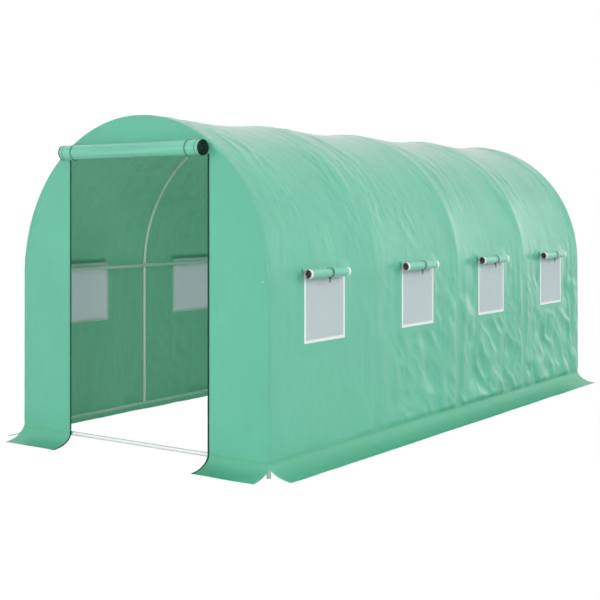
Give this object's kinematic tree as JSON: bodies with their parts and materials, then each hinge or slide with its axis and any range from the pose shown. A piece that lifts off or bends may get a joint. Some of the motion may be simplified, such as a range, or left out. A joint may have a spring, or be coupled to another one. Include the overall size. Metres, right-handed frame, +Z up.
{
  "type": "polytunnel greenhouse",
  "caption": "Walk-in polytunnel with bent tube hoops, a fitted green cover, a rolled-up front door, screened side windows with rolled flaps and flared ground skirts.",
  "frame": {"origin": "on the ground, at the centre of the footprint", "axes": "+X to the right seen from the door end, +Y towards the rear along the tunnel, +Z up"},
  "size_m": [2.31, 4.8, 2.067],
  "materials": {
    "tube": "satin galvanised",
    "cover": "woven mesh-reinforced green cloth, satin",
    "skirt": "woven green cloth, satin",
    "screen": "fine light grey mesh",
    "trim": "white woven tape",
    "tie": "dark green woven strap",
    "zip": "dark green zip tape",
    "flap": "rolled green cloth"
  },
  "bodies": {
    "root": {"base_rail_left": "tube", "base_rail_right": "tube", "door_flap_roll": "flap", "door_ties": "tie", "door_zips": "zip", "front_panel_left": "cover", "front_panel_right": "cover", "front_panel_top": "cover", "front_skirts": "skirt", "hoop_arch_1": "tube", "hoop_arch_2": "tube", "hoop_arch_3": "tube", "hoop_arch_4": "tube", "hoop_arch_5": "tube", "legs_left": "tube", "legs_right": "tube", "rear_base_bar": "tube", "rear_panel": "cover", "rear_skirt": "skirt", "ridge_purlin": "tube", "roof_cover_1": "cover", "roof_cover_2": "cover", "roof_cover_3": "cover", "roof_cover_4": "cover", "shoulder_purlin_left": "tube", "shoulder_purlin_right": "tube", "side_wall_left_1": "cover", "side_wall_left_2": "cover", "side_wall_left_3": "cover", "side_wall_left_4": "cover", "side_wall_right_1": "cover", "side_wall_right_2": "cover", "side_wall_right_3": "cover", "side_wall_right_4": "cover", "skirt_left": "skirt", "skirt_right": "skirt", "threshold_bar": "tube", "window_flap_rolls_left": "flap", "window_flap_rolls_right": "flap", "window_screens_left": "screen", "window_screens_right": "screen", "window_ties": "tie", "window_trims_left": "trim", "window_trims_right": "trim"}
  },
  "joints": []
}
